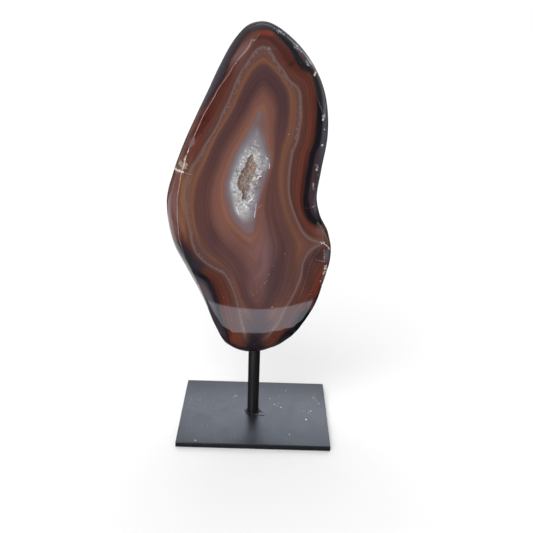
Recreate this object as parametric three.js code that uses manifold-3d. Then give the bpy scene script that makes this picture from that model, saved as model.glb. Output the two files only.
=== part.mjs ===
// A polished agate slice on a small metal stand.
// A steel plate lies on the table, a round rod is welded upright on it, and the stone sits on the rod.
// Millimetres, +Z up, the stone's polished face towards -Y. The origin is the middle of the plate's underside.
import * as THREE from "three";
import { mergeVertices } from "three/addons/utils/BufferGeometryUtils.js";
import Module from "manifold-3d";

// Stand
const plateWidth = 80;
const plateDepth = 60;
const plateThickness = 3;
const plateCornerRadius = 1;
const plateEdgeRadius = 0.3;
const rodDiameter = 6.2;
const rodSides = 32;
const rodX = -0.8;
const weldWidth = 1;
const weldHeight = 0.9;
const weldClearance = 0.1;

// Stone
const stoneFootZ = 42; // where the rod enters, above the table
const stoneThickness = 22;
const stoneStations = 96; // points round each ring of the stone
const socketDepth = 14; // the drilled hole that the rod stands in
const socketClearance = 0.3;
const rodTopClearance = 1;

// The stone's outline seen from the front, clockwise from its top: x from the rod, and height above its foot.
const outlinePoints = [
  [0.5, 164.9], [6.5, 163], [15.4, 156.5], [22.6, 148.5], [27.3, 140.2], [30.3, 130], [31.3, 116],
  [29.4, 101], [27.9, 88], [28.3, 84.2], [29.3, 80], [31.2, 73.6], [35.8, 64.5], [36.3, 55.5], [33.8, 44],
  [30.6, 32], [26.1, 22.5], [20, 12.2], [10, 3.7], [-3, 0], [-14.5, 5], [-21, 17.5],
  [-25.5, 29.5], [-29.2, 37.5], [-34.9, 48.9], [-40.8, 60.9], [-43.5, 73.5], [-43.7, 85], [-40.6, 96.5],
  [-35.7, 109.9], [-30, 122.6], [-24, 135.2], [-18.1, 147.6], [-12.6, 157.1], [-6.4, 163.3],
];

// The ground edge round the flat front face: share of the way round the outline, width, depth,
// and flatness from 0, an elliptical rounding, to 1, a straight chamfer.
const frontEdge = [
  [0, 3.8, 4.5, 0.3], [0.05, 4.2, 5, 0.2], [0.15, 4.5, 5.2, 0.2], [0.24, 3.5, 4.7, 0.2],
  [0.3, 3, 4.5, 0.2], [0.38, 2.5, 4.4, 0.2], [0.405, 2.5, 4.7, 0.25], [0.42, 4, 5.4, 0.3],
  [0.435, 8.1, 6, 0.3], [0.455, 11.7, 6.9, 0.3], [0.48, 14, 8, 0.3], [0.505, 15, 8.5, 0.3],
  [0.53, 14.2, 7.8, 0.3], [0.545, 12.2, 7, 0.35], [0.56, 7.6, 6.2, 0.5], [0.575, 4.6, 5.5, 0.65],
  [0.6, 3.1, 5, 0.8], [0.63, 2.7, 5, 0.8], [0.67, 3.1, 5, 0.8], [0.7, 4.2, 5.3, 0.55],
  [0.725, 5.3, 5.8, 0.4], [0.75, 5.8, 6, 0.35], [0.77, 5.2, 5.7, 0.35], [0.8, 3.9, 5, 0.35],
  [0.835, 3.1, 4.7, 0.35], [0.87, 3, 4.6, 0.35], [0.9, 3.8, 4.8, 0.4], [0.93, 5.4, 5.6, 0.45],
  [0.96, 7, 6.5, 0.45], [0.98, 6.8, 6.2, 0.4], [1, 3.8, 4.5, 0.3],
];
const backEdge = [
  [0, 4, 4.2, 0.1], [0.42, 4, 4.2, 0.1], [0.5, 9, 8.2, 0.1], [0.58, 4, 4.2, 0.1], [1, 4, 4.2, 0.1],
];
const roundingSteps = 5;
const inwardsSpacing = 0.0125; // share of the outline between the directions averaged at each station
const backFaceCentre = [-4, 85];

// The open hollow in the quartz heart of the stone, clockwise from its top.
const hollowPoints = [
  [-3, 107.5], [-0.5, 103.5], [-1, 99.5], [-3, 96.5], [-3.5, 92], [-5, 86.5],
  [-8.5, 89.5], [-10, 94], [-7.5, 99.5], [-5.5, 104],
];
const hollowCentre = [-5, 96.5];
const hollowDepth = 6.5;
const hollowWall = [[0.97, 0.35], [0.86, 0.7], [0.6, 0.93]]; // share of the rim's reach, share of the depth

// Crystal crust that lines the hollow
const crustStations = 30;
const crustClearance = 0.3;
const crustThickness = 0.7;
const crustMouth = [1, 0.06];
const crystalHeight = 1.1;

const wasm = await Module();
wasm.setup();

// A closed smooth curve through points of the stone's face, at depth 0.
function closedCurve(points) {
  return new THREE.CatmullRomCurve3(
    points.map(([x, z]) => new THREE.Vector3(x, 0, z)), true, "centripetal");
}

// Smooth reading of one column of a table whose first column is the share of the way round.
function valueAround(table, share, column) {
  const next = table.findIndex(([at]) => at >= share);
  if (next <= 0) return table[0][column];
  const low = table[next - 1];
  const high = table[next];
  const blend = THREE.MathUtils.smoothstep(share, low[0], high[0]);
  return THREE.MathUtils.lerp(low[column], high[column], blend);
}

// How far a ground edge is inside the outline and below its face, turn of the way from the face to the outline.
function edgeProfile(table, share, turn) {
  const [width, depth, flatness] = [1, 2, 3].map((column) => valueAround(table, share, column));
  const angle = turn * Math.PI / 2;
  return {
    inset: width * THREE.MathUtils.lerp(1 - Math.sin(angle), 1 - turn, flatness),
    drop: depth * THREE.MathUtils.lerp(1 - Math.cos(angle), turn, flatness),
  };
}

// Direction from the outline into the stone, the mean of those a little way to either side.
function inwardsAt(curve, share) {
  const inwards = new THREE.Vector3();
  for (let step = -2; step <= 2; step++) {
    const tangent = curve.getTangentAt(THREE.MathUtils.euclideanModulo(share + step * inwardsSpacing, 1));
    inwards.add(new THREE.Vector3(tangent.z, 0, -tangent.x));
  }
  return inwards.normalize();
}

// One ring of the stone: its outline moved inwards by inset(share), at depth y(share).
function outlineRing(curve, inset, y) {
  return Array.from({ length: stoneStations }, (_, i) => {
    const share = i / stoneStations;
    return curve.getPointAt(share).addScaledVector(inwardsAt(curve, share), inset(share)).setY(y(share));
  });
}

// A ring part of the way from one ring to another.
function ringBetween(from, to, share) {
  return from.map((point, i) => point.clone().lerp(to[i], share));
}

// The hollow's rim drawn in towards its centre, at a depth behind the face.
function hollowRing(stations, spread, inset, y) {
  const curve = closedCurve(hollowPoints);
  const centre = new THREE.Vector3(hollowCentre[0], 0, hollowCentre[1]);
  return Array.from({ length: stations }, (_, i) => {
    const point = curve.getPointAt(i / stations);
    const reach = point.distanceTo(centre);
    return point.lerp(centre, 1 - Math.max(0.05, (spread * reach - inset) / reach)).setY(y);
  });
}

// A closed body from a pole, a stack of rings and a second pole. The cells of a crystal row each get a tip.
function ringBody(firstPole, rings, lastPole, crystalRows = new Set(), crystalTip = null) {
  const corners = [];
  const addTriangle = (...points) => points.forEach((p) => corners.push(p.x, p.y, p.z));
  const count = rings[0].length;
  for (let i = 0; i < count; i++) {
    const j = (i + 1) % count;
    addTriangle(firstPole, rings[0][i], rings[0][j]);
    for (let row = 0; row + 1 < rings.length; row++) {
      const [a, b] = [rings[row][i], rings[row][j]];
      const [c, d] = [rings[row + 1][j], rings[row + 1][i]];
      if (crystalRows.has(row)) {
        const tip = crystalTip([a, b, c, d], row * count + i);
        addTriangle(a, d, tip);
        addTriangle(d, c, tip);
        addTriangle(c, b, tip);
        addTriangle(b, a, tip);
      } else {
        addTriangle(a, d, c);
        addTriangle(a, c, b);
      }
    }
    addTriangle(lastPole, rings.at(-1)[j], rings.at(-1)[i]);
  }
  const geometry = new THREE.BufferGeometry();
  geometry.setAttribute("position", new THREE.Float32BufferAttribute(corners, 3));
  return mergeVertices(geometry);
}

// A closed three.js geometry as a solid that can be cut.
function solidOf(geometry) {
  const bare = geometry.clone().deleteAttribute("normal").deleteAttribute("uv");
  const merged = mergeVertices(bare, 1e-4);
  return new wasm.Manifold(new wasm.Mesh({
    numProp: 3,
    vertProperties: merged.attributes.position.array,
    triVerts: new Uint32Array(merged.index.array),
  }));
}

function geometryOf(solid) {
  const mesh = solid.getMesh();
  const geometry = new THREE.BufferGeometry();
  geometry.setAttribute("position", new THREE.BufferAttribute(mesh.vertProperties, 3));
  geometry.setIndex(new THREE.BufferAttribute(mesh.triVerts, 1));
  geometry.computeVertexNormals();
  return geometry;
}

// An upright cylinder that stands on z = 0.
function uprightCylinder(radius, height, sides) {
  return new THREE.CylinderGeometry(radius, radius, height, sides)
    .rotateX(Math.PI / 2)
    .translate(0, 0, height / 2);
}

// Polished stone: back face, rounded rim, flat front face and the open hollow, as one stack of rings.
function stoneGeometry() {
  const outline = closedCurve(outlinePoints);
  const half = stoneThickness / 2;
  const backRim = [];
  const frontRim = [];
  for (let step = 0; step <= roundingSteps; step++) {
    const turn = step / roundingSteps;
    backRim.push(outlineRing(outline,
      (share) => edgeProfile(backEdge, share, turn).inset,
      (share) => half - edgeProfile(backEdge, share, turn).drop));
    frontRim.unshift(outlineRing(outline,
      (share) => edgeProfile(frontEdge, share, turn).inset,
      (share) => -half + edgeProfile(frontEdge, share, turn).drop));
  }

  const backCentre = new THREE.Vector3(backFaceCentre[0], half, backFaceCentre[1]);
  const backHeart = backRim[0].map(() => backCentre);
  const backFace = [0.85, 0.45].map((share) => ringBetween(backRim[0], backHeart, share));

  const faceEdge = frontRim.at(-1);
  const hollowRim = hollowRing(stoneStations, 1, 0, -half);
  const frontFace = [0.3, 0.65].map((share) => ringBetween(faceEdge, hollowRim, share));
  const wallRings = hollowWall.map(([spread, depth]) =>
    hollowRing(stoneStations, spread, 0, -half + depth * hollowDepth));
  const hollowFloor = new THREE.Vector3(hollowCentre[0], -half + hollowDepth, hollowCentre[1]);

  const body = ringBody(backCentre,
    [...backFace, ...backRim, ...frontRim, ...frontFace, hollowRim, ...wallRings], hollowFloor);
  const mouthReach = 10; // the drill starts this far below the foot
  const socket = uprightCylinder(rodDiameter / 2 + socketClearance, socketDepth + mouthReach, rodSides)
    .translate(0, 0, -mouthReach);
  return geometryOf(solidOf(body).subtract(solidOf(socket)));
}

// Small pointed quartz crystals on a thin skin that follows the hollow's wall.
function crustGeometry() {
  const face = -stoneThickness / 2;
  const layers = [...hollowWall].reverse().concat([crustMouth]);
  const skin = (inset) => layers.map(([spread, depth]) =>
    hollowRing(crustStations, spread, inset, face + depth * hollowDepth - inset * depth));
  const wallSide = skin(crustClearance);
  const openSide = skin(crustClearance + crustThickness).reverse();
  const floorAt = (lift) =>
    new THREE.Vector3(hollowCentre[0], face + hollowDepth - lift, hollowCentre[1]);
  const middle = new THREE.Vector3(hollowCentre[0], face + hollowDepth * 0.4, hollowCentre[1]);
  const crystalRows = new Set(openSide.slice(1).map((_, i) => wallSide.length + i));
  const crystalTip = (corners, index) => {
    const tip = corners.reduce((sum, p) => sum.add(p), new THREE.Vector3()).divideScalar(4);
    const inwards = middle.clone().sub(tip).normalize();
    const size = 0.45 + 0.55 * Math.abs(Math.sin(index * 12.9898)); // no two neighbours alike
    return tip.addScaledVector(inwards, crystalHeight * size);
  };
  return ringBody(floorAt(crustClearance), [...wallSide, ...openSide],
    floorAt(crustClearance + crustThickness), crystalRows, crystalTip);
}

// Steel plate with small round corners and eased edges.
function plateGeometry() {
  const w = plateWidth / 2 - plateEdgeRadius;
  const d = plateDepth / 2 - plateEdgeRadius;
  const r = plateCornerRadius;
  const shape = new THREE.Shape()
    .moveTo(-w + r, -d)
    .lineTo(w - r, -d).absarc(w - r, -d + r, r, -Math.PI / 2, 0)
    .lineTo(w, d - r).absarc(w - r, d - r, r, 0, Math.PI / 2)
    .lineTo(-w + r, d).absarc(-w + r, d - r, r, Math.PI / 2, Math.PI)
    .lineTo(-w, -d + r).absarc(-w + r, -d + r, r, Math.PI, Math.PI * 1.5);
  return new THREE.ExtrudeGeometry(shape, {
    depth: plateThickness - 2 * plateEdgeRadius,
    bevelThickness: plateEdgeRadius,
    bevelSize: plateEdgeRadius,
    bevelSegments: 2,
    curveSegments: 6,
  }).translate(0, 0, plateEdgeRadius);
}

// Round rod, from the plate up into the stone's socket.
function rodGeometry() {
  const length = stoneFootZ + socketDepth - rodTopClearance - plateThickness;
  return uprightCylinder(rodDiameter / 2, length, rodSides);
}

// Low bead of weld round the rod's foot.
function weldGeometry() {
  const inner = rodDiameter / 2 + weldClearance;
  const profile = [[0, 0], [1, 0], [0.8, 0.4], [0.35, 0.8], [0, 1], [0, 0]]; // shares of width and height
  const points = profile.map(([out, up]) => new THREE.Vector2(inner + out * weldWidth, up * weldHeight));
  return new THREE.LatheGeometry(points, rodSides).rotateX(Math.PI / 2);
}

function namedMesh(name, geometry, color, roughness, metalness) {
  const mesh = new THREE.Mesh(geometry, new THREE.MeshStandardMaterial({ color, roughness, metalness }));
  mesh.name = name;
  return mesh;
}

const stand = new THREE.Group();
const plate = namedMesh("base_plate", plateGeometry(), 0x26282c, 0.45, 0.1);
const rod = namedMesh("rod", rodGeometry(), 0x1c1d20, 0.4, 0.1);
const weld = namedMesh("weld_bead", weldGeometry(), 0x1c1d20, 0.4, 0.1);
rod.position.set(rodX, 0, plateThickness);
weld.position.set(rodX, 0, plateThickness);
stand.add(plate, rod, weld);

const stone = new THREE.Group();
stone.position.set(rodX, 0, stoneFootZ);
stone.add(
  namedMesh("agate", stoneGeometry(), 0x7a4330, 0.08, 0),
  namedMesh("druse_crust", crustGeometry(), 0xb9a48c, 0.3, 0),
);

const part = new THREE.Group();
part.add(stand, stone);
export default part;
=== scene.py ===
import math
import random

import bmesh
import bpy
import numpy as np
from mathutils import Matrix, Vector, noise


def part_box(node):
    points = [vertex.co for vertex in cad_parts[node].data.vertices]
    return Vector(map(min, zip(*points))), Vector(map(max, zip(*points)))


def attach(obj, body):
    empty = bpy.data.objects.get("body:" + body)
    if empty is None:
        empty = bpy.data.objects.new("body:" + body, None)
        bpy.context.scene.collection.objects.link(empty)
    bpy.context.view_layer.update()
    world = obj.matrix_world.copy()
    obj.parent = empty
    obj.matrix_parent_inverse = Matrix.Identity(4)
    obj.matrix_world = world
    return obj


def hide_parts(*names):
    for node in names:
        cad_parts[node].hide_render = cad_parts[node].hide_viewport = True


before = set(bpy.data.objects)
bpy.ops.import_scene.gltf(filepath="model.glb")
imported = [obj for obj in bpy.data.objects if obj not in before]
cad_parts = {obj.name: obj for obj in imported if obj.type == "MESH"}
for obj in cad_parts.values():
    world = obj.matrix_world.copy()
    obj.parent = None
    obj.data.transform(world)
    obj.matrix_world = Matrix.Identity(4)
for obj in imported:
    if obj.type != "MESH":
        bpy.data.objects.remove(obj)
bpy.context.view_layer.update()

mm = 0.001
random.seed(11)


# Small helpers

def deselectAll():
    if bpy.context.object and bpy.context.object.mode != "OBJECT":
        bpy.ops.object.mode_set(mode="OBJECT")
    bpy.ops.object.select_all(action="DESELECT")


def selectOnly(*pieces):  # the first one is the active one
    deselectAll()
    for piece in pieces:
        piece.select_set(True)
    bpy.context.view_layer.objects.active = pieces[0]


def applyPlace(piece):  # puts the piece's place into its mesh, so that its object sits at the origin
    selectOnly(piece)
    bpy.ops.object.transform_apply(location=True, rotation=True, scale=True)


def smoothByAngle(piece, degrees):
    selectOnly(piece)
    bpy.ops.object.shade_smooth_by_angle(angle=math.radians(degrees))


def joinPieces(pieces):
    selectOnly(*pieces)
    bpy.ops.object.join()
    piece = bpy.context.object
    piece.data.materials.clear()
    return piece


def turnFacesOut():  # on the active piece
    bpy.ops.object.mode_set(mode="EDIT")
    bpy.ops.mesh.select_all(action="SELECT")
    bpy.ops.mesh.normals_make_consistent(inside=False)
    bpy.ops.object.mode_set(mode="OBJECT")


def hideFrom(piece, *rays):
    for ray in rays:
        setattr(piece, "visible_" + ray, False)


def paint(red, green, blue):  # a colour given on the 0 to 255 scale, as linear light
    def linear(value):
        share = value / 255
        return share / 12.92 if share <= 0.04045 else ((share + 0.055) / 1.055) ** 2.4
    return (linear(red), linear(green), linear(blue), 1)


def closedCurve(points, count):  # even points, and the way along, on a closed centripetal spline
    given = np.array(points, float)
    parts = []
    steps = np.linspace(0, 1, 24, endpoint=False)[:, None]
    for i in range(len(given)):
        before, start, end, after = (given[(i + k) % len(given)] for k in (-1, 0, 1, 2))
        gapA, gapB, gapC = (max(math.dist(a, b), 1e-6) ** 0.5
                            for a, b in ((before, start), (start, end), (end, after)))
        leave = (start - before) / gapA - (end - before) / (gapA + gapB) + (end - start) / gapB
        arrive = (end - start) / gapB - (after - start) / (gapB + gapC) + (after - end) / gapC
        leave, arrive = leave * gapB, arrive * gapB
        parts.append(start + leave * steps + (3 * (end - start) - 2 * leave - arrive) * steps ** 2
                     + (2 * (start - end) + leave + arrive) * steps ** 3)
    line = np.vstack(parts + [given[:1]])
    length = np.concatenate([[0], np.cumsum(np.hypot(*np.diff(line, axis=0).T))])
    spots = np.linspace(0, length[-1], count, endpoint=False)
    even = np.stack([np.interp(spots, length, line[:, k]) for k in (0, 1)], 1)
    along = np.roll(even, -1, 0) - np.roll(even, 1, 0)
    return even, along / np.linalg.norm(along, axis=1)[:, None]


def evenOut(directions, reach):  # each direction becomes the mean of those near it on the ring
    total = sum(np.roll(directions, shift, 0) for shift in range(-reach, reach + 1))
    return total / np.linalg.norm(total, axis=1)[:, None]


def smoothRead(table, share, column):  # eased reading of one column of a table
    at = np.array([row[0] for row in table])
    values = np.array([row[column] for row in table])
    upper = np.clip(np.searchsorted(at, share), 1, len(at) - 1)
    blend = np.clip((share - at[upper - 1]) / (at[upper] - at[upper - 1]), 0, 1)
    blend = blend * blend * (3 - 2 * blend)
    return values[upper - 1] * (1 - blend) + values[upper] * blend


# Camera

cameraSetup = {
    "lens": 46.7,  # on a 36 mm wide frame
    "place": (2.6, -323.8, 224.4),  # mm in the frame
    "down": 22.55,
    "turn": 0.29,
    "roll": 1.83,
}


def makeCamera():
    print("camera")
    deselectAll()
    bpy.ops.object.camera_add()
    camera = bpy.context.object
    camera.data.lens = cameraSetup["lens"]
    camera.data.sensor_width = 36
    camera.data.clip_start = 0.01
    camera.data.clip_end = 60
    camera.matrix_world = (
        Matrix.Translation(Vector(cameraSetup["place"]) * mm)
        @ Matrix.Rotation(math.radians(-cameraSetup["turn"]), 4, "Z")
        @ Matrix.Rotation(math.radians(90 - cameraSetup["down"]), 4, "X")
        @ Matrix.Rotation(math.radians(cameraSetup["roll"]), 4, "Z"))
    bpy.context.scene.camera = camera


# Node helpers

def newMaterial(name):
    material = bpy.data.materials.new(name)
    material.use_nodes = True
    return material, material.node_tree, material.node_tree.nodes["Principled BSDF"]


def setInput(socket, value, links):  # a plain value is set on the socket, a node's output is linked to it
    if isinstance(value, bpy.types.NodeSocket):
        links.new(value, socket)
    else:
        socket.default_value = value


def mathNode(tree, operation, *values, clamp=False):
    node = tree.nodes.new("ShaderNodeMath")
    node.operation = operation
    node.use_clamp = clamp
    for socket, value in zip(node.inputs, values):
        setInput(socket, value, tree.links)
    return node.outputs[0]


def plus(tree, first, second):
    return mathNode(tree, "ADD", first, second)


def minus(tree, first, second):
    return mathNode(tree, "SUBTRACT", first, second)


def times(tree, first, second):
    return mathNode(tree, "MULTIPLY", first, second)


def timesPlus(tree, first, second, third):
    return mathNode(tree, "MULTIPLY_ADD", first, second, third)


def vectorNode(tree, operation, *values, output=0):
    node = tree.nodes.new("ShaderNodeVectorMath")
    node.operation = operation
    for socket, value in zip(node.inputs, values):
        setInput(socket, value, tree.links)
    return node.outputs[output]


def scaleVector(tree, vector, amount):  # makes a colour lighter or darker as well
    node = tree.nodes.new("ShaderNodeVectorMath")
    node.operation = "SCALE"
    setInput(node.inputs[0], vector, tree.links)
    setInput(node.inputs["Scale"], amount, tree.links)
    return node.outputs[0]


def rangeNode(tree, value, low, high, outLow=0.0, outHigh=1.0):  # eased at both ends
    node = tree.nodes.new("ShaderNodeMapRange")
    node.interpolation_type = "SMOOTHSTEP"
    for name, given in (("Value", value), ("From Min", low), ("From Max", high),
                        ("To Min", outLow), ("To Max", outHigh)):
        setInput(node.inputs[name], given, tree.links)
    return node.outputs[0]


def mixColours(tree, share, first, second):
    node = tree.nodes.new("ShaderNodeMix")
    node.data_type = "RGBA"
    for index, given in ((0, share), (6, first), (7, second)):
        setInput(node.inputs[index], given, tree.links)
    return node.outputs[2]


def rampNode(tree, value, stops):
    node = tree.nodes.new("ShaderNodeValToRGB")
    elements = node.color_ramp.elements
    elements[0].position, elements[0].color = stops[0]
    elements[1].position, elements[1].color = stops[-1]
    for place, colour in stops[1:-1]:
        elements.new(place).color = colour
    setInput(node.inputs[0], value, tree.links)
    return node.outputs[0]


def objectCoordinates(tree):
    return tree.nodes.new("ShaderNodeTexCoord").outputs["Object"]


def noiseNode(tree, vector, scale, detail=3, roughness=0.5, distortion=0.0):
    node = tree.nodes.new("ShaderNodeTexNoise")
    for name, given in (("Vector", vector), ("Scale", scale), ("Detail", detail),
                        ("Roughness", roughness), ("Distortion", distortion)):
        setInput(node.inputs[name], given, tree.links)
    return node.outputs["Fac"]


def cellNode(tree, vector, scale, output="Distance"):
    node = tree.nodes.new("ShaderNodeTexVoronoi")
    tree.links.new(vector, node.inputs["Vector"])
    node.inputs["Scale"].default_value = scale
    return node.outputs[output]


def attributeNode(tree, name, output="Fac"):
    node = tree.nodes.new("ShaderNodeAttribute")
    node.attribute_name = name
    return node.outputs[output]


def bumpNode(tree, height, distance, strength):
    node = tree.nodes.new("ShaderNodeBump")
    node.inputs["Strength"].default_value = strength
    node.inputs["Distance"].default_value = distance
    tree.links.new(height, node.inputs["Height"])
    return node.outputs[0]


# Stone: its outline and ground edges are those of its CAD solid

stoneLow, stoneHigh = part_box("agate")
rodLow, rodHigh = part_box("rod")
plateLow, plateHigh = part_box("base_plate")
rodX = (rodLow.x + rodHigh.x) / 2 / mm
faceY = stoneLow.y / mm
backY = stoneHigh.y / mm

stone = {
    "stations": 600,  # points round each ring
    "footZ": 42,
    "outline": [  # x from the rod and height above the foot, clockwise from the top, mm
        (0.5, 164.9), (6.5, 163), (15.4, 156.5), (22.6, 148.5), (27.3, 140.2), (30.3, 130), (31.3, 116),
        (29.4, 101), (27.9, 88), (28.3, 84.2), (29.3, 80), (31.2, 73.6), (35.8, 64.5), (36.3, 55.5),
        (33.8, 44), (30.6, 32), (26.1, 22.5), (20, 12.2), (10, 3.7), (-3, 0), (-14.5, 5), (-21, 17.5),
        (-25.5, 29.5), (-29.2, 37.5), (-34.9, 48.9), (-40.8, 60.9), (-43.5, 73.5), (-43.7, 85),
        (-40.6, 96.5), (-35.7, 109.9), (-30, 122.6), (-24, 135.2), (-18.1, 147.6), (-12.6, 157.1),
        (-6.4, 163.3)],
    "frontEdge": [  # share of the way round, width, depth, flatness
        (0, 3.8, 4.5, 0.3), (0.05, 4.2, 5, 0.2), (0.15, 4.5, 5.2, 0.2), (0.24, 3.5, 4.7, 0.2),
        (0.3, 3, 4.5, 0.2), (0.38, 2.5, 4.4, 0.2), (0.405, 2.5, 4.7, 0.25), (0.42, 4, 5.4, 0.3),
        (0.435, 8.1, 6, 0.3), (0.455, 11.7, 6.9, 0.3), (0.48, 14, 8, 0.3), (0.505, 15, 8.5, 0.3),
        (0.53, 14.2, 7.8, 0.3), (0.545, 12.2, 7, 0.35), (0.56, 7.6, 6.2, 0.5), (0.575, 4.6, 5.5, 0.65),
        (0.6, 3.1, 5, 0.8), (0.63, 2.7, 5, 0.8), (0.67, 3.1, 5, 0.8), (0.7, 4.2, 5.3, 0.55),
        (0.725, 5.3, 5.8, 0.4), (0.75, 5.8, 6, 0.35), (0.77, 5.2, 5.7, 0.35), (0.8, 3.9, 5, 0.35),
        (0.835, 3.1, 4.7, 0.35), (0.87, 3, 4.6, 0.35), (0.9, 3.8, 4.8, 0.4), (0.93, 5.4, 5.6, 0.45),
        (0.96, 7, 6.5, 0.45), (0.98, 6.8, 6.2, 0.4), (1, 3.8, 4.5, 0.3)],
    "backEdge": [
        (0, 4, 4.2, 0.1), (0.42, 4, 4.2, 0.1), (0.5, 9, 8.2, 0.1), (0.58, 4, 4.2, 0.1), (1, 4, 4.2, 0.1)],
    "backCentre": (-4, 85),
    "hollow": [
        (-3.1, 107.9), (-2.4, 105.8), (-2.1, 104), (-0.9, 102.4), (-1.5, 101.2), (-1.7, 99), (-2.4, 97),
        (-3.2, 95.4), (-4.3, 94.2), (-4, 92.6), (-4.4, 91), (-5.4, 89.2), (-5.3, 87.4), (-5.7, 86.3),
        (-6.6, 86.2), (-7.4, 87.2), (-7.3, 89.2), (-8.5, 91.2), (-9.8, 93.6), (-9.4, 96.1), (-8.4, 98.4),
        (-8.1, 100.2), (-6.7, 101.8), (-6.1, 103.6), (-5.3, 105.4), (-4.5, 106.8)],
    "hollowCentre": (-5.4, 96.5),
    "hollowDepth": 6.5,
    "raggedRim": 0.7,  # how far the broken rim strays, mm
    "hollowWall": [(0.985, 0.2), (0.97, 0.35), (0.93, 0.5), (0.86, 0.7), (0.74, 0.84), (0.6, 0.93),
                   (0.4, 0.97), (0.2, 0.99)],  # share of the rim's reach, share of the depth
    "socketDepth": 14,
    "socketClearance": 0.3,
    "levelReach": 8,  # mm for one level of the bands where no next contour is given
    "bandDrift": 9,  # how far the bands wander towards the back, mm
    "driftLength": 38,
    "backSkin": 6,  # within this of the back the bands stay below the hollow's level
    "backHeart": 6.8,
    "chipReach": 7,  # how far behind the face the broken places go
    "chipDepth": 0.45,
}


def edgeProfile(table, share, turn):  # how far a ground edge is inside the outline, and behind its face
    width, depth, flatness = (smoothRead(table, share, column) for column in (1, 2, 3))
    angle = turn * math.pi / 2
    inset = width * ((1 - math.sin(angle)) * (1 - flatness) + (1 - turn) * flatness)
    drop = depth * ((1 - math.cos(angle)) * (1 - flatness) + turn * flatness)
    return inset, drop


def hollowRim(count):  # the hollow's broken edge, x and z
    rim = closedCurve(stone["hollow"], count)[0]
    away = rim - np.array(stone["hollowCentre"])
    away = away / np.linalg.norm(away, axis=1)[:, None]
    stray = [noise.noise(Vector((x, z, 0)) * 1.1) + noise.noise(Vector((x, z, 9)) * 2.7)
             for x, z in rim]
    return rim + away * stone["raggedRim"] * np.array(stray)[:, None]


def stoneRings():  # rows of points from the middle of the back, round the rim, to the hollow's floor
    count = stone["stations"]
    share = np.arange(count) / count
    outline, along = closedCurve(stone["outline"], count)
    inwards = evenOut(np.stack([along[:, 1], -along[:, 0]], 1), stone["stations"] // 40)

    def edgeRing(table, turn, backwards):
        inset, drop = edgeProfile(table, share, turn)
        flat = outline + inwards * inset[:, None]
        y = backY - drop if backwards else faceY + drop
        return np.stack([flat[:, 0], y, flat[:, 1]], 1)

    def blend(first, second, part):
        return first * (1 - part) + second * part

    turns = [0, 0.03, 0.07, 0.12, 0.18, 0.25, 0.33, 0.41, 0.5, 0.59, 0.68, 0.77, 0.85, 0.93, 1]
    backTurns = [0, 0.08, 0.2, 0.35, 0.5, 0.68, 0.85, 1]
    backRim = [edgeRing(stone["backEdge"], turn, True) for turn in backTurns]
    frontRim = [edgeRing(stone["frontEdge"], turn, False) for turn in reversed(turns)]
    side = [blend(backRim[-1], frontRim[0], part) for part in (0.17, 0.33, 0.5, 0.67, 0.83)]
    middle = np.array([stone["backCentre"][0], backY, stone["backCentre"][1]])
    backFace = [blend(middle, backRim[0], part) for part in np.linspace(0.04, 0.985, 26)]

    hollowPoints = hollowRim(count)
    centre = np.array(stone["hollowCentre"])

    def hollowRing(spread, depth):
        flat = blend(centre, hollowPoints, spread)
        y = np.full(count, faceY + depth * stone["hollowDepth"])
        return np.stack([flat[:, 0], y, flat[:, 1]], 1)

    rim = hollowRing(1, 0)
    steps = np.concatenate([[0.006], np.linspace(0.018, 0.99, 64)])
    frontFace = [blend(frontRim[-1], rim, part) for part in steps]
    lip = [hollowRing(0.995, 0.03)]
    wall = [hollowRing(spread, depth) for spread, depth in stone["hollowWall"]]
    floor = np.array([centre[0], faceY + stone["hollowDepth"], centre[1]])
    return middle, backFace + backRim + side + frontRim + frontFace + [rim] + lip + wall, floor


def toFrame(points):  # from the rod and the foot to the frame, still in mm
    return points + np.array([rodX, 0, stone["footZ"]])


def makeStone():
    print("stone: rings laid on a sphere's rings")
    first, rings, last = stoneRings()
    count = stone["stations"]
    deselectAll()
    bpy.ops.mesh.primitive_uv_sphere_add(segments=count, ring_count=len(rings) + 1, radius=1)
    piece = bpy.context.object
    piece.name = "agateStone"
    mesh = piece.data
    flat = np.empty(len(mesh.vertices) * 3)
    mesh.vertices.foreach_get("co", flat)
    ball = flat.reshape(-1, 3)
    height = np.arccos(np.clip(ball[:, 2], -1, 1)) / math.pi * (len(rings) + 1)
    row = np.rint(height).astype(int)
    station = np.rint(-np.arctan2(ball[:, 1], ball[:, 0]) / (2 * math.pi) * count).astype(int) % count
    table = toFrame(np.array(rings))
    places = table[np.clip(row - 1, 0, len(rings) - 1), station]
    places[row == 0] = toFrame(first)
    places[row == len(rings) + 1] = toFrame(last)
    mesh.vertices.foreach_set("co", (places * mm).ravel())
    mesh.update()
    turnFacesOut()
    return piece


def drillSocket(piece):
    print("stone: socket for the rod")
    radius = (rodHigh.x - rodLow.x) / 2 + stone["socketClearance"] * mm
    reach = 10 * mm
    depth = stone["socketDepth"] * mm + reach
    deselectAll()
    bpy.ops.mesh.primitive_cylinder_add(
        vertices=64, radius=radius, depth=depth,
        location=(rodX * mm, 0, stone["footZ"] * mm - reach + depth / 2))
    drill = bpy.context.object
    selectOnly(piece)
    cut = piece.modifiers.new("socket", "BOOLEAN")
    cut.operation = "DIFFERENCE"
    cut.solver = "EXACT"
    cut.object = drill
    bpy.ops.object.modifier_apply(modifier=cut.name)
    bpy.data.objects.remove(drill, do_unlink=True)


# Bands of the agate

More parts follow.
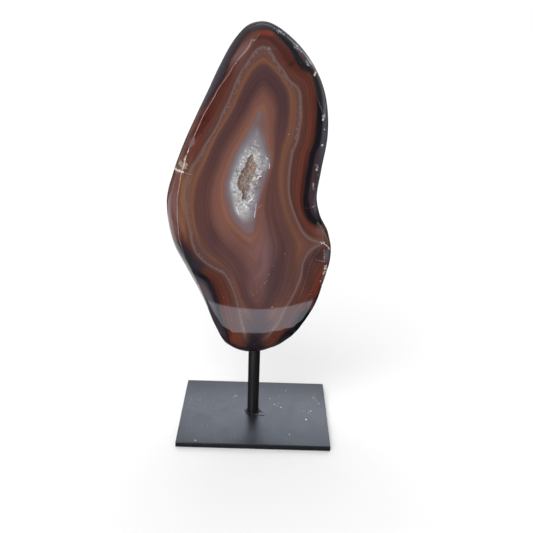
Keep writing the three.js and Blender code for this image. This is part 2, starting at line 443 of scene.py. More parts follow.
# closed contours, x and z in mm in the frame, clockwise from the top, outer ones first: the levels 1 to 6 of
# the band coordinate, with skin below 1, black, red, outer orange, dark, inner orange, and quartz up to 7
bandContours = [
    [(1, 209), (6, 205.8), (11, 201.6), (14.5, 197.2), (17.2, 193.2), (19.8, 190.2), (22.3, 188.8),
     (24.2, 186), (25.9, 181), (27.1, 175), (27.6, 168), (27.4, 160), (26.8, 155), (25.3, 151),
     (24.8, 147), (24, 142), (23.3, 136), (23.2, 131), (23.8, 127), (25.2, 122.5), (27.7, 119),
     (31, 117.2), (35, 116.6), (41, 112), (43, 100), (38, 86), (34, 76), (29, 66), (23, 56), (14, 47),
     (3, 38.5), (-8, 38.5), (-12.5, 44), (-14, 51), (-15.4, 58.3), (-17.4, 62.8), (-19.8, 69),
     (-20.9, 73.4), (-22.1, 77.2), (-23.8, 81.5), (-25.5, 85.2), (-28.9, 87.6), (-31.1, 89.7),
     (-34.5, 90.5), (-40, 97), (-46, 108), (-51, 122), (-50, 138), (-44, 154), (-34, 167), (-26.5, 178),
     (-20, 189.5), (-14.5, 199), (-6, 207)],
    [(-0.2, 204.6), (2.8, 203.9), (4.8, 202.8), (7.3, 200.5), (9.9, 197.8), (12, 195.2), (14.1, 191.9),
     (16.3, 189.6), (18.9, 188), (21, 187.4), (22.4, 186), (23.2, 183), (23.9, 180), (24.3, 176.5),
     (24.7, 172.5), (24.9, 167.4), (24.8, 162.2), (24.5, 158), (24, 154.9), (22.8, 152.2), (22.3, 148.9),
     (21.9, 145), (21.2, 141), (20.9, 137), (20.6, 133), (20.4, 128.7), (21.1, 124.2), (22.7, 120.2),
     (25.6, 117.4), (29.5, 116.2), (33, 115.4), (38, 110), (40, 100), (36.5, 92), (32.8, 87),
     (30.4, 81.4), (27.9, 76.3), (25.2, 72.4), (21.5, 68.4), (19.6, 64.4), (17, 61.1), (14.2, 57.7),
     (12, 53.6), (10, 50), (6, 47.8), (3, 49), (0.5, 50.3), (-2, 49.6), (-6, 47.4), (-10, 47.8),
     (-12.8, 50.5), (-14.1, 54), (-14.9, 57.6), (-16.5, 61.5), (-17.8, 65.5), (-18.7, 69.5),
     (-19.3, 74.7), (-20.7, 79.7), (-22.6, 84.4), (-24.9, 87.6), (-28, 90.2), (-31.2, 93.6), (-34, 98.6),
     (-36.4, 104), (-38.8, 109), (-44, 113), (-49, 122), (-48, 137), (-42.5, 150), (-36.5, 160),
     (-31, 166.3), (-28.3, 168.3), (-25.9, 170.9), (-24.1, 173.4), (-22, 176.5), (-20, 180.1),
     (-18, 183.2), (-16.5, 186.2), (-15.2, 189.6), (-13.5, 192.7), (-11, 196.7), (-8.6, 200.3),
     (-5.6, 203.4)],
    [(0, 197.2), (3.3, 194.7), (5.3, 191.3), (8.7, 187.3), (11.3, 183.3), (14.7, 180.7), (16.3, 178),
     (16.7, 174), (17.3, 168.7), (16.7, 162), (16, 156.7), (14.3, 152), (13.3, 145.3), (13, 138.7),
     (13.3, 132), (15.1, 125.1), (17.2, 120), (19.4, 115.5), (22, 111.5), (26.1, 108.7), (30.6, 107.5),
     (28.4, 106.3), (25.2, 103.9), (23.2, 100.2), (21.7, 96), (21.1, 90.4), (19.4, 84.2), (17.4, 79.1),
     (15.3, 74.6), (13.4, 70.7), (12.2, 67), (10.5, 63), (8.2, 59.3), (5.9, 55.6), (3, 52.6),
     (-0.5, 51.6), (-4, 52), (-5.3, 54), (-6, 57.7), (-7.2, 62.2), (-8.2, 66.8), (-9.4, 72.5),
     (-10.3, 76.9), (-11.8, 81.3), (-13.6, 85.6), (-15.9, 89.8), (-18.7, 91.6), (-23.8, 94.5),
     (-28.2, 98), (-30.4, 100.9), (-32.1, 106), (-33, 112), (-34.2, 119.5), (-34.9, 126), (-34.6, 133.5),
     (-33, 139.3), (-30.7, 143.7), (-28, 148), (-25.3, 153.3), (-22.7, 157.3), (-19.3, 163.3),
     (-17.3, 168.7), (-14.7, 174), (-12.7, 179.3), (-10.7, 184), (-8, 188.7), (-5.3, 192.7), (-3.3, 195.7)],
    [(0, 190), (4.7, 187.3), (8, 183.3), (10.7, 179.3), (11.7, 174.7), (12, 169.3), (11.7, 164),
     (10.7, 158.7), (9.3, 153.3), (8.5, 148), (7.9, 141.3), (8.3, 134), (9.6, 127.2), (10.9, 121.6),
     (12.5, 115.8), (14.3, 111.2), (15.9, 106.6), (16, 101.8), (15.5, 97), (14.6, 92.1), (13.9, 87.1),
     (12.7, 82.1), (10.6, 77), (7.9, 72.4), (4.5, 68.5), (1.7, 66.2), (-1.5, 67.5), (-4.8, 72),
     (-7.5, 76.4), (-9, 81.4), (-10.4, 85.7), (-11.9, 90), (-14.8, 94.2), (-18.7, 97.7), (-22.6, 101.2),
     (-26, 105.2), (-28.4, 110.5), (-29.9, 115.6), (-30.5, 121.4), (-30.3, 127.1), (-29.7, 132.4),
     (-28, 138.7), (-25.3, 145.3), (-23.3, 150.7), (-20.7, 156.7), (-17.3, 162.7), (-14, 168),
     (-11.3, 173.3), (-9.3, 178), (-6.7, 183.3), (-4, 187.3)],
    [(0.3, 179.3), (2.6, 177.3), (4.7, 173.9), (5.6, 170.4), (5.6, 166.8), (5.5, 161.6), (5.8, 157.4),
     (5.9, 152.7), (6, 149.5), (5.9, 146.2), (5.1, 142.4), (3.9, 138), (3, 134.5), (2.2, 130.3),
     (1.9, 126), (2.2, 121.3), (2.9, 116.7), (4.1, 112.1), (5.1, 107.4), (5.5, 102.7), (5.4, 97.8),
     (4.9, 93), (4.2, 88.7), (3, 83.6), (1.4, 79.2), (-0.3, 75.2), (-1.8, 77.5), (-2.9, 80.8),
     (-3.8, 84.5), (-4.9, 88.4), (-6.1, 92.6), (-7.9, 96.8), (-10.4, 101), (-13.7, 105), (-17.4, 109.6),
     (-20.4, 114.8), (-22.1, 120.5), (-22.8, 126), (-22.6, 131), (-21.3, 137.3), (-18.7, 144),
     (-16, 150.7), (-12.7, 157.3), (-9.3, 163.3), (-6, 169.3), (-3.3, 174.7)],
    [(-1.3, 169.3), (0.1, 165.1), (0.9, 161), (1.5, 156.8), (2.5, 153.1), (4.2, 150), (4.6, 146.8),
     (3.9, 142.9), (2.7, 138.5), (1.7, 134.6), (0.6, 130.9), (-0.4, 127.4), (-1.4, 124), (-1.9, 120.6),
     (-2.6, 117.1), (-3.8, 112.9), (-7.3, 114.8), (-10, 118), (-12.3, 121.4), (-13.9, 126.5),
     (-15.3, 131), (-15.4, 136), (-14.3, 140), (-12.9, 145.1), (-11.3, 149.5), (-9.3, 153.8),
     (-6.8, 158.1), (-4.2, 162.9), (-2.5, 166.5)],
]


def lineDistance(points, line):  # distance to a closed line, and whether each point is inside it
    best = np.full(len(points), 1e9)
    inside = np.zeros(len(points), bool)
    x, z = points[:, 0], points[:, 1]
    for start, end in zip(line, np.roll(line, -1, 0)):
        way = end - start
        part = np.clip(((x - start[0]) * way[0] + (z - start[1]) * way[1]) / (way @ way), 0, 1)
        best = np.minimum(best, np.hypot(x - start[0] - part * way[0], z - start[1] - part * way[1]))
        if start[1] != end[1]:
            crosses = (start[1] > z) != (end[1] > z)
            inside ^= crosses & (x < start[0] + (z - start[1]) / (end[1] - start[1]) * way[0])
    return best, inside


def wanderDeeper(points):  # the bands drift a little from the front face to the back
    flat = points[:, [0, 2]].copy()
    depth = (points[:, 1] - faceY) / (backY - faceY)
    for i in range(len(points)):
        if depth[i] > 0.02:
            spot = Vector(points[i]) / stone["driftLength"]
            drift = depth[i] * stone["bandDrift"]
            flat[i, 0] += drift * noise.noise(spot)
            flat[i, 1] += drift * noise.noise(spot + Vector((7.3, 1.1, 4.2)))
    return flat


softSpots = [  # x, z, half width, half height, tilt in degrees, strength, from band, to band, colour
    (2, 174, 13, 17, 0, 0.85, 3.95, 4.75, (72, 51, 54)),  # dark band at the top
    (0, 194, 9, 4, 0, 0.8, 3.0, 3.5, (98, 68, 62)),  # brown under the top of the grey line
    (2, 198, 16, 10, 0, 0.8, 1.9, 2.6, (76, 47, 43)),  # browner red towards the top
    (2, 203.2, 6, 1.5, -12, 0.7, 1.95, 2.35, (122, 56, 37)),
    (11.5, 194, 8, 5, -42, 0.75, 1.98, 2.6, (80, 42, 35)),
    (12.3, 190.6, 1.5, 0.9, -40, 0.8, 2.0, 2.95, (46, 27, 27)),
    (-10, 192, 9, 6, 40, 0.7, 2.02, 2.95, (96, 65, 62)),  # painted reflection: lighter haze on the facet at the upper left, with a streak along it
    (-8.8, 195.9, 1.5, 7, 40, 0.7, 2.02, 2.95, (124, 91, 87)),
    (-23, 180, 5, 24, 30, 0.9, 0, 1.92, (55, 47, 56)),  # smoke skin at the upper left
    (-4, 206, 9, 3, 0, 0.8, 0, 1.92, (54, 47, 55)),
    (-26.5, 164, 2.6, 11, 26, 0.85, 1.9, 2.65, (84, 37, 30)),  # deep red inside the upper left edge
    (-26.6, 165.6, 1.8, 1.2, 0, 0.7, 1.9, 2.9, (50, 29, 27)),
    (-27, 159.4, 0.6, 0.6, 0, 0.8, 1.9, 3.0, (52, 30, 30)),
    (-30, 152, 2.5, 6, 25, 0.6, 2.0, 2.9, (104, 54, 42)),
    (-31.9, 154.6, 1.5, 2.8, 26, 0.98, 0, 3.0, (97, 63, 60)),
    (-36.4, 126, 2.2, 22, 0, 0.9, 2.35, 3.0, (127, 87, 68)),  # orange strip inside the left edge
    (-32.5, 128, 2.2, 22, 0, 0.6, 2.7, 3.4, (120, 86, 70)),
    (-41.6, 122, 3.7, 26, -3, 0.92, 0, 2.75, (112, 80, 77)),  # mauve ground edge on the left: the stone's red with painted reflected haze over it
    (-34.4, 151, 2.6, 12, 26, 0.8, 0, 2.2, (96, 64, 62)),
    (-18, 154, 7, 14, 25, 0.5, 3.2, 3.95, (124, 84, 64)),
    (-26, 122, 5, 22, 0, 0.75, 4.0, 4.9, (93, 63, 59)),  # the dark band is warmer on the left
    (-22, 109, 3, 8, -25, 0.7, 4.0, 4.9, (80, 57, 59)),
    (-34.5, 99, 3.4, 8, -30, 0.96, 0, 2.85, (42, 39, 45)),  # smoke at the lower left
    (-29, 94.5, 4.5, 4, -40, 0.9, 0, 2.92, (47, 43, 48)),
    (-26, 97.5, 3, 5, -45, 0.6, 2.6, 2.98, (84, 63, 62)),
    (-20.5, 86, 2.5, 7, -30, 0.5, 2.0, 2.6, (74, 44, 40)),
    (-28, 101, 5, 9, -40, 0.85, 3.05, 4.1, (89, 64, 61)),  # brown below the grey line
    (-16, 92, 8, 8, -45, 0.85, 3.05, 4.0, (90, 63, 59)),
    (-13, 95, 4, 12, -35, 0.6, 4.0, 4.9, (95, 67, 65)),
    (-5, 82, 7, 12, 0, 0.75, 3.1, 4.1, (94, 65, 60)),
    (15, 96, 5, 22, -8, 0.9, 3.08, 4.15, (86, 60, 57)),
    (10, 80, 7, 10, -20, 0.75, 3.1, 4.1, (88, 61, 58)),
    (11, 128, 3, 22, 0, 0.4, 3.1, 3.5, (98, 66, 58)),
    (7.5, 133, 4, 26, 0, 0.8, 4.0, 4.9, (91, 61, 57)),  # and warmer on the right
    (10, 92, 4, 12, 0, 0.7, 4.0, 4.7, (78, 56, 57)),
    (4, 96, 5, 22, 0, 0.7, 4.55, 5.3, (100, 75, 78)),  # mauve heart below the quartz
    (-3, 88, 5, 14, 15, 0.5, 4.6, 5.4, (101, 73, 73)),
    (-9, 103, 7, 12, -25, 0.8, 4.75, 5.6, (103, 71, 67)),
    (-1, 103, 4, 9, 0, 0.5, 4.9, 5.6, (114, 84, 82)),
    (3.2, 101, 1.5, 8, 0, 0.32, 4.3, 5.6, (124, 94, 96)),  # pale hooked streak
    (0.6, 90.5, 1.4, 5, 34, 0.32, 4.3, 5.6, (122, 92, 95)),
    (-3.6, 83.5, 1.3, 4.5, -8, 0.38, 4.2, 5.6, (120, 91, 95)),
    (7.6, 89, 2.4, 14, 12, 0.75, 4.05, 5.1, (72, 53, 56)),
    (2.6, 133, 3.4, 14, 6, 0.9, 4.95, 6.02, (106, 71, 65)),  # brown right of the quartz
    (0.5, 118, 3, 9, 10, 0.75, 5.1, 6.08, (110, 76, 71)),
    (0.2, 137.5, 2.4, 6.5, 14, 0.85, 5.95, 6.85, (120, 102, 105)),
    (-3, 123, 1.3, 5, 8, 0.5, 5.95, 6.9, (132, 122, 128)),
    (-4.4, 114.4, 2.8, 5, -20, 0.8, 5.9, 6.7, (116, 96, 96)),
    (29, 101, 3.8, 4.8, 0, 0.88, 1.9, 2.9, (62, 43, 43)),  # dark under the star of cracks
    (25, 91, 3.4, 13, -12, 0.8, 2.3, 3.0, (68, 46, 45)),
    (28.4, 86, 2.8, 11, -14, 0.9, 1.9, 2.4, (96, 47, 37)),  # deep red at the lower right
    (31, 86, 1.2, 10, -14, 0.85, 0, 1.95, (62, 53, 58)),
    (32.6, 89, 1.2, 11, -10, 0.6, 1.9, 2.2, (120, 100, 100)),
    (31, 113, 4, 5, 20, 0.6, 2.0, 3.0, (108, 76, 70)),
    (33.6, 101.4, 1.6, 3.4, 0, 0.85, 0, 2.6, (92, 93, 104)),
    (20.6, 133, 1.5, 14, 0, 0.8, 1.95, 2.22, (60, 34, 30)),  # deep brown beside the black
    (1, 61.5, 8, 9, 0, 0.92, 3.1, 4.6, (61, 46, 52)),  # dark below the tip of the bands
    (-0.6, 51.5, 5, 7, 0, 0.95, 1.0, 4.2, (33, 31, 37)),
    (-10.5, 53.5, 3.6, 4, -25, 0.7, 1.9, 2.98, (108, 56, 42)),
    (7.5, 55, 4, 3.4, 25, 0.6, 1.9, 2.98, (92, 50, 40)),
    (17, 67, 4.5, 7, 30, 0.5, 1.9, 2.6, (74, 56, 58)),
    (16, 195.6, 2, 9, -43, 0.85, 0, 1.2, (76, 57, 59)),  # brown skin at the upper right
    (29.2, 166, 2.4, 32, 0, 0.8, 0, 1.0, (84, 83, 94)),  # skin on the right: its dark colour with a painted bluish sheen near the outline
    (25, 137, 1.2, 13, 4, 0.8, 0.6, 1.05, (74, 50, 50)),
    # painted bluish sheen at the right outline, over the dark skin
    (28, 137, 1.5, 20, 8, 0.85, 0, 0.86, (92, 92, 103)),
    (-26, 79, 2.4, 9, -28, 0.8, 0, 0.98, (96, 86, 92)),
    (-21.6, 80, 2, 9, -20, 0.5, 1.0, 1.98, (46, 39, 43)),
    (28.6, 72, 2.4, 8, -25, 0.75, 0, 2.15, (90, 62, 57)),
    (-8.6, 123, 3.4, 5, -25, 0.6, 6.1, 7, (180, 177, 176)),  # whiter quartz at the lower left
    (-12, 133, 2.2, 9, 0, 0.5, 6.3, 7, (174, 176, 180)),
    (2.6, 146, 2, 3, 0, 0.5, 6.05, 7, (160, 162, 167)),
    (4, 145, 3.5, 16, 8, 0.5, 5.7, 6.2, (106, 82, 80)),
    (0, 164, 4, 5, 0, 0.7, 5.4, 6.15, (112, 80, 76)),
    (-8, 92, 5, 16, -18, 0.6, 4.4, 5.15, (86, 60, 60)),
    (0.2, 182, 1.8, 3, 0, 0.5, 4.0, 4.7, (86, 61, 61)),
    (-10.5, 126, 2.2, 5, -15, 0.4, 6.2, 7, (168, 163, 156)),
]

chipAndSparkleSpots = [  # broken places, as above: where the skin is rough, how thickly, and its colour; the near-white colours are partly painted sparkle on the broken skin
    (26, 146, 1.3, 2, 20, 0.62, 0, 3, (150, 150, 160)),
    (26.2, 143.6, 0.6, 0.7, 0, 0.9, 0, 3, (205, 205, 210)),
    (24.9, 137.4, 0.7, 2.6, 0, 0.62, 0, 3, (136, 134, 144)),
    (24.9, 134.2, 1.1, 0.9, 20, 0.72, 0, 3, (176, 176, 182)),
    (27, 140.6, 0.6, 0.9, 0, 0.7, 0, 3, (170, 110, 88)),
    (28.1, 155, 0.7, 0.6, 0, 0.85, 0, 3, (226, 226, 228)),
    (27.3, 153.6, 0.6, 1.6, 0, 0.5, 0, 3, (150, 150, 158)),
    (27.8, 168, 0.9, 3.2, 0, 0.66, 0, 3, (200, 200, 206)),
    (28.6, 162, 0.5, 1, 0, 0.7, 0, 3, (206, 206, 212)),
    (22.8, 186.6, 0.9, 1.5, 30, 0.9, 0, 3, (212, 194, 170)),
    (19.6, 191.4, 1.5, 2.6, -40, 0.5, 0, 1.9, (158, 156, 164)),
    (14.6, 197.4, 1.2, 3.4, -48, 0.6, 0, 2, (150, 148, 156)),
    (7, 203.6, 1.1, 4.2, -66, 0.62, 0, 2.2, (146, 144, 152)),
    (3, 196.6, 0.8, 3, -75, 0.45, 2.5, 3.3, (140, 118, 116)),
    (-11.8, 190.6, 0.5, 0.7, 0, 0.6, 0, 3, (196, 184, 182)),
    (-36, 144, 2.6, 2.2, 0, 0.95, 0, 3.3, (148, 124, 104)),
    (-37.2, 144.8, 1, 1, 0, 0.95, 0, 3.3, (160, 150, 142)),
    (-34.9, 147, 0.6, 2, 18, 0.8, 0, 3.2, (190, 180, 172)),
    (-42, 118, 1.1, 10, 0, 0.42, 0, 2, (176, 168, 168)),
    (31, 107.6, 1.1, 0.9, 0, 0.85, 0, 3.2, (206, 202, 204)),
    (33.6, 93.5, 1.1, 3.8, -14, 0.8, 0, 3, (206, 200, 198)),
    (32.4, 91.6, 0.7, 1.1, 0, 0.95, 0, 3, (214, 196, 168)),
    (32, 84, 0.8, 6, -14, 0.5, 0, 3, (180, 176, 182)),
    (34.3, 104.6, 0.8, 1.4, 0, 0.6, 0, 3, (190, 186, 190)),
    (-38.6, 102, 1, 2.6, -20, 0.5, 0, 3, (220, 218, 220)),
    (-30, 84, 0.9, 2, -30, 0.6, 0, 3, (214, 212, 216)),
]


def layTint(flat, band, spotList):  # the spots laid over one another, as one colour and its strength
    colour = np.zeros((len(flat), 3))
    cover = np.zeros(len(flat))
    for x, z, wide, high, tilt, strength, low, top, shade in spotList:
        turn = math.radians(tilt)
        dx, dz = flat[:, 0] - x, flat[:, 1] - z
        across = (dx * math.cos(turn) - dz * math.sin(turn)) / wide
        up = (dx * math.sin(turn) + dz * math.cos(turn)) / high
        soft = 0.06
        within = np.clip((band - low) / soft + 0.5, 0, 1) * np.clip((top - band) / soft + 0.5, 0, 1)
        share = strength * np.exp(-(across ** 2 + up ** 2) ** 1.5) * within
        colour = colour * (1 - share[:, None]) + np.array(paint(*shade)[:3]) * share[:, None]
        cover = cover * (1 - share) + share
    return np.concatenate([colour / np.maximum(cover, 1e-6)[:, None], cover[:, None]], 1)


def addAttribute(mesh, name, values, kind="FLOAT", field="value"):
    attribute = mesh.attributes.new(name, kind, "POINT")
    attribute.data.foreach_set(field, np.ascontiguousarray(values, np.float32).ravel())


def layBands(piece):
    print("stone: band coordinate")
    mesh = piece.data
    flat = np.empty(len(mesh.vertices) * 3)
    mesh.vertices.foreach_get("co", flat)
    points = flat.reshape(-1, 3) / mm
    spots = wanderDeeper(points)
    hollow = closedCurve(stone["hollow"], 120)[0] + np.array([rodX, stone["footZ"]])
    lines = [closedCurve(contour, 200)[0] for contour in bandContours] + [hollow]
    distances, insides = zip(*(lineDistance(spots, line) for line in lines))
    band = 1 - distances[0] / stone["levelReach"]
    for level in range(len(lines)):
        outer = distances[level]
        if level + 1 < len(lines):
            inner = distances[level + 1]
            step = outer / np.maximum(outer + inner, 1e-6)
        else:
            step = outer / stone["levelReach"]
        band = np.where(insides[level], level + 1 + step, band)
    atBack = points[:, 1] > backY - stone["backSkin"]
    band = np.where(atBack, np.minimum(band, stone["backHeart"]), band)
    greyGap = np.where(insides[2], -distances[2], distances[2])
    addAttribute(mesh, "band", band)
    addAttribute(mesh, "greyGap", greyGap)
    addAttribute(mesh, "tint", layTint(spots, band, softSpots), "FLOAT_COLOR", "color")
    chipsAndSparkle = layTint(points[:, [0, 2]], band, chipAndSparkleSpots)
    chipsAndSparkle[:, 3] *= np.clip((faceY + stone["chipReach"] - points[:, 1]) / 2, 0, 1)
    addAttribute(mesh, "chipsAndSparkle", chipsAndSparkle, "FLOAT_COLOR", "color")
    dentChips(mesh, points, chipsAndSparkle[:, 3])


def dentChips(mesh, points, cover):  # the broken places sink a little, unevenly
    for index in np.nonzero((cover > 0.3) & (points[:, 1] > faceY + 0.3))[0]:
        vertex = mesh.vertices[index]
        deep = max(0, noise.noise(vertex.co * 1400) + 0.35) * cover[index] * stone["chipDepth"] * mm
        vertex.co -= vertex.normal * deep
    mesh.update()


# Fractures and bruises drawn on the stone

fractures = [  # colour, strength, unevenness, and lines of x and z in mm with their widths
    ((202, 197, 198), 0.9, 0.6, [
        ([(-40.6, 141.3), (-38.4, 141.1), (-36, 140.8)], 0.68),
        ([(31.6, 107.4), (33.6, 105.6), (35.4, 103)], 0.3)]),
    ((184, 174, 170), 0.72, 1.0, [
        ([(-36.2, 140.9), (-34.4, 140.1), (-32.4, 139.7)], 0.26),
        ([(-34.8, 146.6), (-35.6, 143.4), (-36.2, 140.8)], 0.5),
        ([(-32.9, 151.4), (-34.2, 148.6), (-35.2, 145.4)], 0.25),
        ([(-4.8, 120), (-5.3, 117.8)], 0.3),
        ([(31.9, 104), (32.1, 101), (32.4, 97.8)], 0.32),
        ([(28, 98.9), (29.6, 98.6), (31.8, 98)], 0.22),
        ([(24.6, 125.4), (26.6, 126)], 0.3),
        ([(0.9, 125.5), (0.2, 125.8), (-0.5, 125.2), (0, 124.5)], 0.18)]),
    ((148, 128, 124), 0.5, 1.1, [
        ([(21, 113), (25.5, 109.4), (30.6, 107.8)], 0.24),
        ([(31.2, 108.4), (33, 107.4), (34.8, 105.8)], 0.22),
        ([(30.8, 107.6), (30.9, 112), (30.4, 118)], 0.36)]),
    ((106, 84, 88), 0.42, 1.1, [
        ([(30, 104.6), (27.2, 100.2), (25.2, 96), (24, 90), (22.8, 84), (21.4, 79)], 0.5)]),
    ((112, 60, 48), 0.6, 1.1, [
        ([(21.6, 124.9), (24.6, 125.4)], 0.24)]),
    ((224, 225, 226), 0.85, 0.5, [  # painted glints: white highlight streaks in the quartz
        ([(-11, 124.4), (-10.4, 122.5), (-9.6, 120.6)], 0.4),
        ([(-1.7, 126.2), (-1.9, 123), (-2.3, 119.8)], 0.28),
        ([(-5.2, 127.4), (-4.2, 128.2), (-3.3, 129.4)], 0.4),
        ([(-7.4, 126), (-6.4, 124.4)], 0.45),
        ([(-1.4, 138.4), (-0.8, 139.6), (0.1, 139.8)], 0.5),
        ([(2.1, 149), (3.2, 148)], 0.28),
        ([(3.9, 146.2), (4.1, 145), (3.9, 143.6)], 0.28)]),
]

specks = [  # x, z, radius in mm
    (7.7, 72.5, 0.5), (13, 101.5, 0.34), (12, 93, 0.26), (-2, 79, 0.34), (10.2, 101.4, 0.24),
    (8.9, 98.2, 0.24), (7.5, 95, 0.22), (5.5, 90.2, 0.22), (4.6, 86.8, 0.2), (3.4, 85.6, 0.26),
    (2.9, 84, 0.2), (1.8, 83.2, 0.24), (-0.4, 80.6, 0.22), (-3.1, 80.4, 0.2), (15.4, 86, 0.26),
    (-14, 122, 0.2), (12.4, 159.8, 0.22), (6.4, 176.5, 0.25), (-16.5, 77.2, 0.2), (16, 89.6, 0.2),
    (26.6, 80.2, 0.2), (-11.5, 190.8, 0.3), (-11.9, 188.8, 0.22), (-41.6, 127, 0.22), (-41.8, 120, 0.25),
    (-41.6, 116, 0.2), (-41.2, 113, 0.25), (28.3, 155, 0.35), (28.8, 162, 0.25), (23.8, 78.6, 0.22),
    (-24.5, 178.8, 0.2)]

mauveLens = [(-31.2, 156, 0.9), (-31.8, 154.6, 1.3), (-32.6, 153.1, 0.8)]  # a dull spot at the upper left


def lineGap(tree, flat, lines, lying=False):  # mm from the nearest of some broken lines, less its width
    nearest = None
    for points, wide in lines:
        corners = [Vector((a, b, 0)) if lying else Vector((a, 0, b)) for a, b in points]
        for first, second in zip(corners, corners[1:]):
            way = second - first
            offset = vectorNode(tree, "SUBTRACT", flat, first)
            along = vectorNode(tree, "DOT_PRODUCT", offset, way / way.length_squared, output="Value")
            part = mathNode(tree, "MULTIPLY", along, 1.0, clamp=True)
            spot = scaleVector(tree, way, part)
            gap = minus(tree, vectorNode(tree, "DISTANCE", offset, spot, output="Value"), wide)
            nearest = gap if nearest is None else mathNode(tree, "MINIMUM", nearest, gap)
    return nearest


def dotGap(tree, flat, dots, lying=False):  # mm outside the nearest of some round dots
    nearest = None
    for a, b, radius in dots:
        centre = (a, b, 0) if lying else (a, 0, b)
        gap = minus(tree, vectorNode(tree, "DISTANCE", flat, centre, output="Value"), radius)
        nearest = gap if nearest is None else mathNode(tree, "MINIMUM", nearest, gap)
    return nearest


agateColours = [  # band coordinate and colour, from the skin to the hollow
    (0.0, (80, 79, 89)), (0.45, (68, 66, 75)), (0.75, (60, 52, 58)), (0.95, (52, 44, 50)),
    (1.1, (37, 33, 38)), (1.3, (24, 23, 28)), (1.8, (25, 23, 27)), (1.94, (34, 26, 28)),
    (2.02, (52, 33, 32)), (2.1, (74, 41, 35)), (2.17, (88, 47, 38)), (2.24, (80, 42, 35)),
    (2.32, (94, 53, 44)), (2.4, (82, 46, 39)), (2.48, (92, 54, 46)), (2.56, (82, 48, 42)),
    (2.66, (89, 54, 47)), (2.76, (84, 53, 48)), (2.86, (90, 60, 54)), (2.96, (100, 71, 65)),
    (3.06, (98, 69, 63)), (3.2, (96, 65, 58)), (3.4, (103, 69, 58)), (3.62, (112, 76, 60)),
    (3.8, (108, 73, 59)), (3.92, (102, 68, 59)), (4.05, (89, 61, 58)), (4.25, (83, 58, 58)),
    (4.5, (83, 57, 57)), (4.7, (87, 60, 58)), (4.88, (95, 65, 61)), (5.05, (104, 71, 65)),
    (5.2, (115, 77, 69)), (5.35, (114, 76, 68)), (5.5, (121, 82, 69)), (5.62, (128, 88, 72)),
    (5.74, (122, 86, 76)), (5.86, (117, 91, 89)), (5.98, (115, 99, 102)), (6.12, (117, 110, 115)),
    (6.3, (129, 125, 130)), (6.55, (144, 141, 145)), (6.85, (158, 155, 158)), (7.0, (150, 143, 142)),
    (7.1, (140, 124, 112)), (7.4, (130, 112, 100))]


bandEnd = 8  # above every level, for the colour ramps


